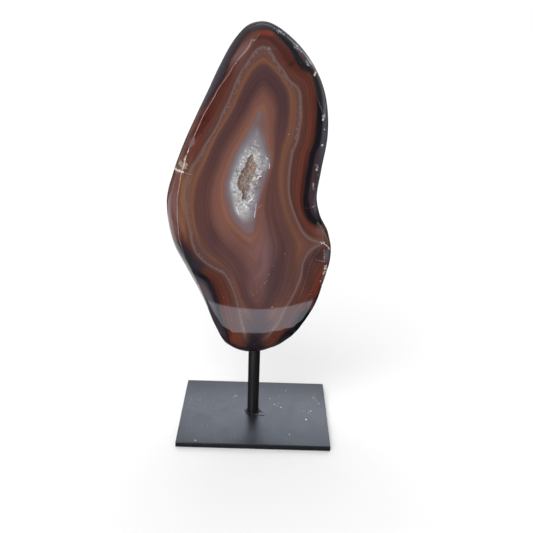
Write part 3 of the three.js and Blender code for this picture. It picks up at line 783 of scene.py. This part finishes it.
def agateMaterial():
    material, tree, shader = newMaterial("bandedAgate")
    links = tree.links
    place = objectCoordinates(tree)
    band = attributeNode(tree, "band")
    greyGap = attributeNode(tree, "greyGap")

    # the bands waver
    slow = minus(tree, noiseNode(tree, place, 55, 2), 0.5)
    fine = minus(tree, noiseNode(tree, place, 380, 3), 0.5)
    waver = plus(tree, times(tree, slow, 0.16), times(tree, fine, 0.06))
    wavered = plus(tree, band, waver)
    spread = mathNode(tree, "DIVIDE", wavered, bandEnd)
    stops = [(at / bandEnd, paint(*colour)) for at, colour in agateColours]
    middle = [at for at, colour in agateColours].index(3.4)
    rampLow = rampNode(tree, spread, stops[:middle + 1])
    rampHigh = rampNode(tree, spread, stops[middle:])
    upper = rangeNode(tree, wavered, 3.39, 3.41)
    colour = mixColours(tree, upper, rampLow, rampHigh)
    tint = attributeNode(tree, "tint", "Color")
    colour = mixColours(tree, attributeNode(tree, "tint", "Alpha"), colour, tint)

    # thin lines that follow the bands
    axes = tree.nodes.new("ShaderNodeSeparateXYZ")
    links.new(place, axes.inputs[0])
    follow = tree.nodes.new("ShaderNodeCombineXYZ")
    links.new(times(tree, wavered, 8.0), follow.inputs[0])
    links.new(times(tree, axes.outputs[0], 14.0), follow.inputs[1])
    links.new(times(tree, axes.outputs[2], 14.0), follow.inputs[2])
    lines = minus(tree, noiseNode(tree, follow.outputs[0], 1.0, 3, 0.62), 0.5)
    inRed = times(tree, rangeNode(tree, wavered, 1.95, 2.15), rangeNode(tree, wavered, 3.0, 2.85))
    inCore = times(tree, rangeNode(tree, wavered, 3.1, 3.3), rangeNode(tree, wavered, 6.0, 5.8))
    lineDepth = plus(tree, times(tree, inRed, 1.3), times(tree, inCore, 0.8))
    colour = scaleVector(tree, colour, timesPlus(tree, lines, lineDepth, 1.0))

    # grey line: a pale thread with small teeth inside it, a soft smooth one on the right
    teeth = minus(tree, rangeNode(tree, noiseNode(tree, place, 1050, 2, 0.6), 0.36, 0.64), 0.5)
    leftSide = rangeNode(tree, axes.outputs[0], 0.013, 0.004)
    toothed = mathNode(tree, "MAXIMUM", leftSide, rangeNode(tree, axes.outputs[2], 0.148, 0.156))
    drift = timesPlus(tree, slow, 1.2, greyGap)
    tooth = rangeNode(tree, noiseNode(tree, place, 950, 2, 0.55), 0.46, 0.66)
    toothSize = rangeNode(tree, axes.outputs[2], 0.125, 0.16, -1.0, -1.5)
    reach = timesPlus(tree, tooth, times(tree, toothed, toothSize), -0.1)
    inTooth = times(tree, rangeNode(tree, minus(tree, drift, reach), -0.12, 0.12),
                    rangeNode(tree, drift, 0.35, 0.1))
    smooth = rangeNode(tree, mathNode(tree, "ABSOLUTE", timesPlus(tree, teeth, 0.3, drift)), 0.75, 0.15)
    softLine = times(tree, smooth, minus(tree, 1.0, toothed))
    thread = rangeNode(tree, mathNode(tree, "ABSOLUTE", minus(tree, drift, 0.42)), 0.34, 0.1)
    aboveFoot = rangeNode(tree, axes.outputs[2], 0.0535, 0.059)
    for line, strength, shade in ((thread, 0.35, (126, 101, 92)), (inTooth, 0.8, (104, 92, 94)),
                                  (softLine, 0.4, (106, 85, 81))):
        share = times(tree, line, times(tree, aboveFoot, strength))
        colour = mixColours(tree, share, colour, paint(*shade))

    # quartz round the hollow
    clouds = noiseNode(tree, place, 330, 4, 0.65, 1.3)
    grains = noiseNode(tree, place, 1250, 3, 0.6, 0.4)
    sugar = plus(tree, times(tree, clouds, 0.6), times(tree, grains, 0.4))
    inQuartz = times(tree, rangeNode(tree, wavered, 6.15, 6.65), rangeNode(tree, wavered, 7.06, 6.98))
    light = minus(tree, rangeNode(tree, sugar, 0.38, 0.61, 0.62, 1.4), 1.0)
    colour = scaleVector(tree, colour, timesPlus(tree, light, inQuartz, 1.0))
    glints = times(tree, rangeNode(tree, grains, 0.54, 0.64), rangeNode(tree, clouds, 0.44, 0.56))
    colour = mixColours(tree, times(tree, glints, times(tree, inQuartz, 0.7)), colour,
                        paint(222, 222, 225))

    # broken skin along the rim, its pale flecks partly painted sparkle
    chipsAndSparkle = attributeNode(tree, "chipsAndSparkle", "Alpha")
    rough = noiseNode(tree, place, 700, 4, 0.65)
    chipAndSparkleMark = rangeNode(tree, timesPlus(tree, chipsAndSparkle, 0.4, rough), 0.72, 0.78)
    fleck = rangeNode(tree, noiseNode(tree, place, 1300, 3), 0.4, 0.6, 0.5, 1.25)
    # pale colour of the broken places, partly painted sparkle, made lighter and darker in flecks
    chipAndSparkleColour = scaleVector(tree, attributeNode(tree, "chipsAndSparkle", "Color"), fleck)
    colour = mixColours(tree, chipAndSparkleMark, colour, chipAndSparkleColour)

    # specks and fractures
    markEnd = faceY + stone["chipReach"]
    facing = rangeNode(tree, axes.outputs[1], markEnd * mm, (markEnd - 2) * mm)
    flat = vectorNode(tree, "MULTIPLY", place, (1000, 0, 1000))
    unevenness = mathNode(tree, "ABSOLUTE", teeth)
    marks = [(lineGap(tree, flat, lines), uneven, strength, shade)
             for shade, strength, uneven, lines in fractures]
    marks.append((dotGap(tree, flat, specks), 0.7, 0.75, (214, 208, 204)))
    lens = dotGap(tree, flat, mauveLens)
    for gap, uneven, strength, shade in marks:
        ragged = timesPlus(tree, unevenness, uneven, gap)
        mark = times(tree, rangeNode(tree, ragged, 0.1, -0.14), facing)
        colour = mixColours(tree, times(tree, mark, strength), colour, paint(*shade))

    # the skin round the side: duller, mottled and pitted, with painted shade darkening the pits
    mottle = noiseNode(tree, place, 130, 5, 0.6, 0.5)
    depth = timesPlus(tree, mottle, 12 * mm, axes.outputs[1])
    onSide = times(tree, rangeNode(tree, depth, (faceY + 12) * mm, (faceY + 17) * mm),
                   rangeNode(tree, depth, (backY + 4) * mm, (backY + 1) * mm))
    skin = mixColours(tree, rangeNode(tree, mottle, 0.36, 0.64), paint(62, 51, 52), paint(104, 86, 80))
    colour = mixColours(tree, times(tree, onSide, 0.6), colour, skin)
    pitsAndPitShade = rangeNode(tree, cellNode(tree, place, 520), 0.14, 0.34)
    pitsAndPitShade = times(tree, minus(tree, pitsAndPitShade, 1.0), onSide)
    # painted shade: darker colour in the pits
    colour = scaleVector(tree, colour, timesPlus(tree, pitsAndPitShade, 0.4, 1.0))
    links.new(colour, shader.inputs["Base Color"])

    edgeRough = rangeNode(tree, axes.outputs[1], (faceY + 3.5) * mm, (faceY + 8) * mm, 0.035, 0.2)
    shine = plus(tree, edgeRough, times(tree, chipAndSparkleMark, 0.4))
    shine = plus(tree, shine, times(tree, onSide, rangeNode(tree, mottle, 0.3, 0.7, 0.05, 0.3)))
    shine = plus(tree, shine, rangeNode(tree, lens, 0.4, -0.4, 0.0, 0.5))
    shine = plus(tree, shine, times(tree, inQuartz, 0.1))
    links.new(shine, shader.inputs["Roughness"])
    shader.inputs["IOR"].default_value = 1.54
    relief = plus(tree, times(tree, grains, inQuartz), times(tree, rough, times(tree, chipsAndSparkle, 1.6)))
    relief = plus(tree, relief, timesPlus(tree, mottle, onSide, pitsAndPitShade))
    links.new(bumpNode(tree, relief, 0.00025, 0.6), shader.inputs["Normal"])
    return material


# Crystals in the hollow, on a bed that fills its bottom

druse = {
    "crystals": 760,
    "width": (0.35, 0.8),
    "height": (0.45, 1.05),
    "rimStations": 120,
    "bedSpread": (0, 0.4, 0.7, 0.88, 0.97, 1),  # from the middle to the rim
    "bedDepth": (0.4, 0.39, 0.35, 0.26, 0.16, 0.09),  # share of the hollow's depth
}


def bedDepth(spread):
    return np.interp(spread, druse["bedSpread"], druse["bedDepth"])


def druseMaterial():
    material, tree, shader = newMaterial("druseCrystals")
    place = objectCoordinates(tree)
    tint = rangeNode(tree, noiseNode(tree, place, 420, 3), 0.36, 0.64)
    warm = mixColours(tree, tint, paint(140, 130, 128), paint(160, 130, 110))
    pale = rangeNode(tree, noiseNode(tree, place, 1300, 2), 0.5, 0.66)
    tree.links.new(mixColours(tree, pale, warm, paint(190, 178, 172)), shader.inputs["Base Color"])
    sheen = rangeNode(tree, noiseNode(tree, place, 900, 2), 0.3, 0.7, 0.12, 0.36)
    tree.links.new(sheen, shader.inputs["Roughness"])
    shader.inputs["IOR"].default_value = 1.54
    return material


def makeDruseBed(outline, centre):  # a sphere flattened to the hollow's shape
    deselectAll()
    bpy.ops.mesh.primitive_uv_sphere_add(segments=len(outline), ring_count=26, radius=1)
    bed = bpy.context.object
    for vertex in bed.data.vertices:
        x, y, z = vertex.co
        spread = min(math.hypot(x, y), 1) * 0.995
        station = round(-math.atan2(y, x) / math.tau * len(outline)) % len(outline)
        flat = centre + (outline[station] - centre) * spread
        lump = noise.noise(Vector((flat[0], 0, flat[1])) * 1.1) * 0.06 * (1 - spread ** 4)
        depth = bedDepth(spread) + (lump if z >= -0.01 else 0.1 * -z)
        vertex.co = Vector(toFrame(np.array([flat[0], faceY + depth * stone["hollowDepth"], flat[1]]))) * mm
    turnFacesOut()
    return bed


def makeCrystal():  # a short six-sided prism with a point
    deselectAll()
    bpy.ops.mesh.primitive_cone_add(vertices=6, radius1=0.5, radius2=0.38, depth=0.5, location=(0, 0, 0.25))
    crystal = bpy.context.object
    bpy.ops.object.mode_set(mode="EDIT")
    work = bmesh.from_edit_mesh(crystal.data)
    for face in work.faces:
        face.select = face.normal.z > 0.9
    bmesh.update_edit_mesh(crystal.data)
    bpy.ops.mesh.extrude_region_move(TRANSFORM_OT_translate={"value": (0, 0, 0.4)})
    bpy.ops.mesh.merge(type="CENTER")
    bpy.ops.object.mode_set(mode="OBJECT")
    return crystal


def makeDruse():
    print("druse: crystals in the hollow")
    outline = hollowRim(druse["rimStations"])
    centre = np.array(stone["hollowCentre"])
    copies = [makeDruseBed(outline, centre)]
    crystal = makeCrystal()
    for index in range(druse["crystals"]):
        spread = math.sqrt(random.random()) if index % 3 else random.uniform(0.85, 0.97)
        station = random.randrange(druse["rimStations"])
        flat = centre + (outline[station] - centre) * spread
        y = faceY + (bedDepth(spread) + 0.02) * stone["hollowDepth"]
        spot = Vector(toFrame(np.array([flat[0], y, flat[1]]))) * mm
        inward = Vector((centre[0] - flat[0], 0, centre[1] - flat[1]))
        inward = inward.normalized() * (0.1 + 0.9 * spread ** 3) + Vector((0, -1, 0))
        inward += Vector([random.uniform(-0.6, 0.6) for _ in range(3)])
        wide = random.uniform(*druse["width"]) * mm
        tall = random.uniform(*druse["height"]) * mm * (1.1 - 0.6 * spread ** 6)
        copy = crystal.copy()
        copy.data = crystal.data.copy()
        bpy.context.collection.objects.link(copy)
        copy.matrix_world = (Matrix.Translation(spot) @ inward.to_track_quat("Z", "Y").to_matrix().to_4x4()
                             @ Matrix.Rotation(random.uniform(0, 1), 4, "Z")
                             @ Matrix.Diagonal((wide, wide * random.uniform(0.75, 1), tall, 1)))
        copies.append(copy)
    bpy.data.objects.remove(crystal, do_unlink=True)
    piece = joinPieces(copies)
    piece.name = "druseCrystals"
    applyPlace(piece)
    piece.data.materials.append(druseMaterial())
    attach(piece, "root")
    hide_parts("druse_crust")


# Stand: rod, plate and the bead between them

stand = {
    "rodSegments": 96,
    "plateCorner": 1.0,
    "plateEdge": 0.3,
    "beadInset": 0.75,  # from the bead's widest reach to the middle of its ring
    "beadThickness": 0.42,
    "burrThickness": 0.13,
    "dust": [  # x, y and radius in mm
        (28.5, -6.8, 0.6), (-29.9, -28, 0.4), (11.3, 6.9, 0.4), (14.9, 4.1, 0.35), (13.4, 7.8, 0.25),
        (-10.8, 14.4, 0.42), (-12, 13.2, 0.25), (17.8, 21.1, 0.35), (31.4, 1.5, 0.4), (30.2, -0.4, 0.25),
        (33.5, 14.6, 0.3), (36.8, 8.7, 0.25), (19.1, -20.6, 0.32), (-31, 9, 0.25), (8.6, 12.6, 0.25),
        (-5.6, -1.8, 0.3)],
    "scratches": [([(32.6, 15.4), (34.9, 12.4), (36.4, 8.8)], 0.03), ([(33.8, 16.6), (35.6, 13.9)], 0.03),
                  ([(12, 6), (16.5, 3.2)], 0), ([(27, 1), (31, 3.4)], 0)],
    "burrs": [  # thin curls of paint round the rod's foot: x and y from the rod, height, mm
        [(-4.3, 1.2, 0.3), (-4.8, 0, 0.5), (-4.4, -1.4, 0.4), (-3.3, -2.6, 0.3), (-2.4, -3.2, 0.1)],
        [(-3.6, -1.8, 0.2), (-2.8, -3.2, 0.6), (-1.8, -4.5, 0.4), (-1, -5.3, 0.15)],
        [(-0.7, -3, 0.2), (-0.1, -4.5, 0.7), (0.6, -5.4, 0.3), (1.3, -4.8, 0.4), (1.6, -3, 0.2)],
        [(2.6, 1.4, 0.3), (3.5, 0.7, 0.7), (4.4, -0.3, 0.4), (5.2, -1.2, 0.12)],
        [(1.2, -3.5, 0.15), (3.2, -4.1, 0.25), (5, -4.2, 0.2), (6.6, -4, 0.1)],
        [(2.9, 0.2, 0.2), (4, 1.2, 0.4), (3.7, 2.4, 0.15)]],
}


def blackPaint(name, base, roughLow, roughHigh, level):
    material, tree, shader = newMaterial(name)
    place = objectCoordinates(tree)
    clouds = noiseNode(tree, place, 45, 3)
    grain = noiseNode(tree, place, 2600, 3, 0.6)
    tree.links.new(mixColours(tree, clouds, paint(*base), paint(*(value + 5 for value in base))),
                   shader.inputs["Base Color"])
    tree.links.new(rangeNode(tree, noiseNode(tree, place, 160, 4), 0.3, 0.7, roughLow, roughHigh),
                   shader.inputs["Roughness"])
    shader.inputs["Specular IOR Level"].default_value = level
    tree.links.new(bumpNode(tree, grain, 0.00004, 0.5), shader.inputs["Normal"])
    return material, tree, shader, place


def dustDots(tree, place, scale, outer, inner, few, many):  # round dots in some of the cells
    chance = tree.nodes.new("ShaderNodeSeparateColor")
    tree.links.new(cellNode(tree, place, scale, "Color"), chance.inputs[0])
    return times(tree, rangeNode(tree, cellNode(tree, place, scale), outer, inner),
                 rangeNode(tree, chance.outputs[0], few, many))


def plateMaterial():
    material, tree, shader, place = blackPaint("plateSatinBlack", (27, 29, 36), 0.3, 0.36, 0.9)
    base = shader.inputs["Base Color"].links[0].from_socket
    dust = dustDots(tree, place, 210, 0.06, 0.03, 0.7, 0.74)
    fineDust = dustDots(tree, place, 620, 0.15, 0.08, 0.58, 0.7)
    flat = vectorNode(tree, "MULTIPLY", place, (1000, 1000, 0))
    uneven = times(tree, noiseNode(tree, place, 1400, 2), 0.5)
    for gap in (dotGap(tree, flat, stand["dust"], True), lineGap(tree, flat, stand["scratches"], True)):
        mark = rangeNode(tree, plus(tree, gap, uneven), 0.35, 0.15)
        dust = mathNode(tree, "MAXIMUM", dust, mark)
    marks = mathNode(tree, "MAXIMUM", dust, times(tree, fineDust, 0.5))
    onTop = rangeNode(tree, attributeNode(tree, "top"), 0.4, 0.6)
    marks = times(tree, marks, times(tree, onTop, 0.75))
    tree.links.new(mixColours(tree, marks, base, paint(190, 190, 190)), shader.inputs["Base Color"])
    return material


def makePlate():
    print("stand: plate")
    deselectAll()
    bpy.ops.mesh.primitive_cube_add(
        size=1, location=(plateLow + plateHigh) / 2, scale=plateHigh - plateLow)
    piece = bpy.context.object
    piece.name = "standPlate"
    applyPlace(piece)
    for edges, width, segments in (("corners", stand["plateCorner"], 5), ("edges", stand["plateEdge"], 3)):
        bpy.ops.object.mode_set(mode="EDIT")
        work = bmesh.from_edit_mesh(piece.data)
        for edge in work.edges:
            upright = abs((edge.verts[0].co - edge.verts[1].co).normalized().z) > 0.9
            sides = [face.normal.z for face in edge.link_faces]
            flatRim = max(abs(value) for value in sides) > 0.9 and min(abs(value) for value in sides) < 0.1
            edge.select = upright if edges == "corners" else flatRim
        bmesh.update_edit_mesh(piece.data)
        bpy.ops.mesh.bevel(offset=width * mm, segments=segments, profile=0.5)
        bpy.ops.mesh.select_all(action="DESELECT")
        bpy.ops.object.mode_set(mode="OBJECT")
    smoothByAngle(piece, 40)
    onTop = [float(vertex.co.z > plateHigh.z - 0.1 * mm) for vertex in piece.data.vertices]
    addAttribute(piece.data, "top", onTop)
    piece.data.materials.append(plateMaterial())
    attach(piece, "root")
    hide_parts("base_plate")


def makeRod():
    print("stand: rod")
    deselectAll()
    bpy.ops.mesh.primitive_cylinder_add(
        vertices=stand["rodSegments"], radius=(rodHigh.x - rodLow.x) / 2, depth=rodHigh.z - rodLow.z,
        location=(rodLow + rodHigh) / 2)
    piece = bpy.context.object
    piece.name = "standRod"
    applyPlace(piece)
    smoothByAngle(piece, 40)
    piece.data.materials.append(blackPaint("rodSatinBlack", (22, 21, 25), 0.36, 0.44, 0.5)[0])
    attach(piece, "root")
    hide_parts("rod")


def makeBurr(points, centre, floor):  # one curl, as a thin tube
    curve = bpy.data.curves.new("burr", "CURVE")
    curve.dimensions = "3D"
    curve.bevel_depth = stand["burrThickness"] * mm
    curve.bevel_resolution = 1
    curve.use_fill_caps = True
    spline = curve.splines.new("NURBS")
    spline.points.add(len(points) - 1)
    for point, (x, y, z) in zip(spline.points, points):
        point.co = (centre.x + x * mm, centre.y + y * mm, floor + z * mm, 1)
        point.radius = random.uniform(0.7, 1.5)
    spline.use_endpoint_u = True
    burr = bpy.data.objects.new("burr", curve)
    bpy.context.collection.objects.link(burr)
    selectOnly(burr)
    bpy.ops.object.convert(target="MESH")
    return bpy.context.object


def makeWeld():
    print("stand: bead and burrs at the rod's foot")
    low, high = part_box("weld_bead")
    centre = (low + high) / 2
    radius = (high.x - low.x) / 2
    deselectAll()
    bpy.ops.mesh.primitive_torus_add(
        major_segments=160, minor_segments=14, major_radius=radius - stand["beadInset"] * mm,
        minor_radius=stand["beadThickness"] * mm,
        location=(centre.x, centre.y, low.z + 0.16 * mm))
    bead = bpy.context.object
    applyPlace(bead)
    for vertex in bead.data.vertices:
        away = vertex.co - Vector((centre.x, centre.y, low.z))
        lump = noise.noise(vertex.co * 700) * 0.45 * mm + noise.noise(vertex.co * 2400) * 0.2 * mm
        side = Vector((away.x, away.y, 0)).normalized()
        vertex.co += side * lump
        vertex.co.z = max(low.z + 0.02 * mm, vertex.co.z + lump * 0.5)
    piece = joinPieces([bead] + [makeBurr(points, centre, low.z) for points in stand["burrs"]])
    piece.name = "weldBead"
    smoothByAngle(piece, 50)
    piece.data.materials.append(blackPaint("beadBlack", (30, 25, 28), 0.12, 0.4, 0.8)[0])
    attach(piece, "root")
    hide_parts("weld_bead")


# Floor, surroundings and light

studio = {
    "floorColour": (238, 238, 238),
    "floorSize": 60,  # in metres, as the next
    "domeRadius": 3.5,
    "domeGlow": 1.0,
    "front": 0.2,  # light from the front and from behind, blended between two directions
    "behind": 0.45,
    "blend": (-0.15, 0.35),
    "suns": [  # strength, tilt and turn in degrees, softness
        (2.4, 48, -22, 60),
        (1.65, -35, 12, 70)],
}


def lying(height, corners):  # a card lying at one height
    return [(x, y, height) for x, y in corners]


def upright(start, end, low, high):  # a card standing over the line between two places
    return [(*start, low), (*end, low), (*end, high), (*start, high)]


white = (1, 1, 1)
sideStart, sideEnd = (-325, -528), (-185, -584)
glowCards = [  # corners in mm, strength, with 0 for a dark card, and tint
    ("brightStrip", lying(1, [
        (-60, -117), (60, -117), (42, -174), (34, -168), (23.5, -161), (9.6, -155.5), (-2, -153.7),
        (-16, -155.5), (-29, -160), (-39, -167)]), 2.1, (0.88, 1.0, 1.12)),
    ("darkTable", lying(0.5, [
        (-3000, -8000), (3000, -8000), (3000, 2500), (-3000, 2500), (-3000, 260), (-30, 260), (-10, 130),
        (-66, 86), (-110, 50), (-150, 0), (-3000, -20)]), 0, white),
    ("backPanel", upright((-700, 1500), (1600, 1500), 640, 2000), 2.3, (0.82, 0.9, 1.04)),
    ("darkWall", upright((-3000, 2400), (3000, 2400), 0, 420), 0.07, white),
    ("darkFlag", upright((-60, 60), (60, 60), 212, 270), 0.12, (0.8, 0.8, 1.2)),
    ("sideFan", lying(1, [(-84, -101), (-66, -107), (-211, -588), (-315, -546)]), 10.5, white),
    ("sidePanel", upright(sideStart, sideEnd, 1, 165), 18, white),
    ("sidePanel", upright(sideStart, sideEnd, 165, 220), 12, white),
    ("sidePanel", upright(sideStart, sideEnd, 220, 300), 4.8, white),
    ("hazePanel", upright((-380, -490), sideStart, 250, 560), 3, white),
]


def glowMaterial(name, strength, tint):
    material, tree, shader = newMaterial(name)
    tree.nodes.remove(shader)
    glow = tree.nodes.new("ShaderNodeEmission")
    glow.inputs["Strength"].default_value = strength
    glow.inputs["Color"].default_value = (*tint, 1)
    tree.links.new(glow.outputs[0], tree.nodes["Material Output"].inputs["Surface"])
    return material


def glowCard(name, corners, strength, tint):  # seen only in reflections
    mesh = bpy.data.meshes.new(name)
    mesh.from_pydata([Vector(corner) * mm for corner in corners], [], [list(range(len(corners)))])
    card = bpy.data.objects.new(name, mesh)
    bpy.context.collection.objects.link(card)
    mesh.materials.append(glowMaterial(name, strength, tint))
    hideFrom(card, "camera", "diffuse", "transmission", "volume_scatter", "shadow")


def makeStudio():
    print("floor, surroundings and light")
    deselectAll()
    bpy.ops.mesh.primitive_plane_add(size=studio["floorSize"])
    floor = bpy.context.object
    floor.name = "paleFloor"
    material, tree, shader = newMaterial("paleFloor")
    shader.inputs["Base Color"].default_value = paint(*studio["floorColour"])
    shader.inputs["Roughness"].default_value = 0.9
    shader.inputs["Specular IOR Level"].default_value = 0
    floor.data.materials.append(material)

    world = bpy.data.worlds.new("studioRoom")
    bpy.context.scene.world = world
    world.use_nodes = True
    tree = world.node_tree
    background = tree.nodes["Background"]
    background.inputs["Color"].default_value = (1, 1, 1, 1)
    direction = tree.nodes.new("ShaderNodeTexCoord").outputs["Generated"]
    axes = tree.nodes.new("ShaderNodeSeparateXYZ")
    tree.links.new(direction, axes.inputs[0])
    strength = rangeNode(tree, axes.outputs[1], *studio["blend"], studio["front"], studio["behind"])
    tree.links.new(strength, background.inputs["Strength"])

    deselectAll()
    bpy.ops.mesh.primitive_uv_sphere_add(segments=64, ring_count=32, radius=studio["domeRadius"])
    backdrop = bpy.context.object
    backdrop.name = "paleBackdrop"
    backdrop.data.materials.append(glowMaterial("paleBackdrop", studio["domeGlow"], white))
    hideFrom(backdrop, "diffuse", "glossy", "transmission", "volume_scatter", "shadow")

    for strength, tilt, turn, softness in studio["suns"]:
        deselectAll()
        bpy.ops.object.light_add(type="SUN", rotation=(math.radians(tilt), 0, math.radians(turn)))
        sun = bpy.context.object
        sun.data.energy = strength
        sun.data.angle = math.radians(softness)
        sun.visible_glossy = False

    for card in glowCards:
        glowCard(*card)
    bpy.context.scene.view_settings.view_transform = "Standard"


# Everything in order

makeCamera()
agate = makeStone()
drillSocket(agate)
layBands(agate)
smoothByAngle(agate, 50)
agate.data.materials.append(agateMaterial())
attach(agate, "root")
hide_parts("agate")
makeDruse()
makePlate()
makeRod()
makeWeld()
makeStudio()
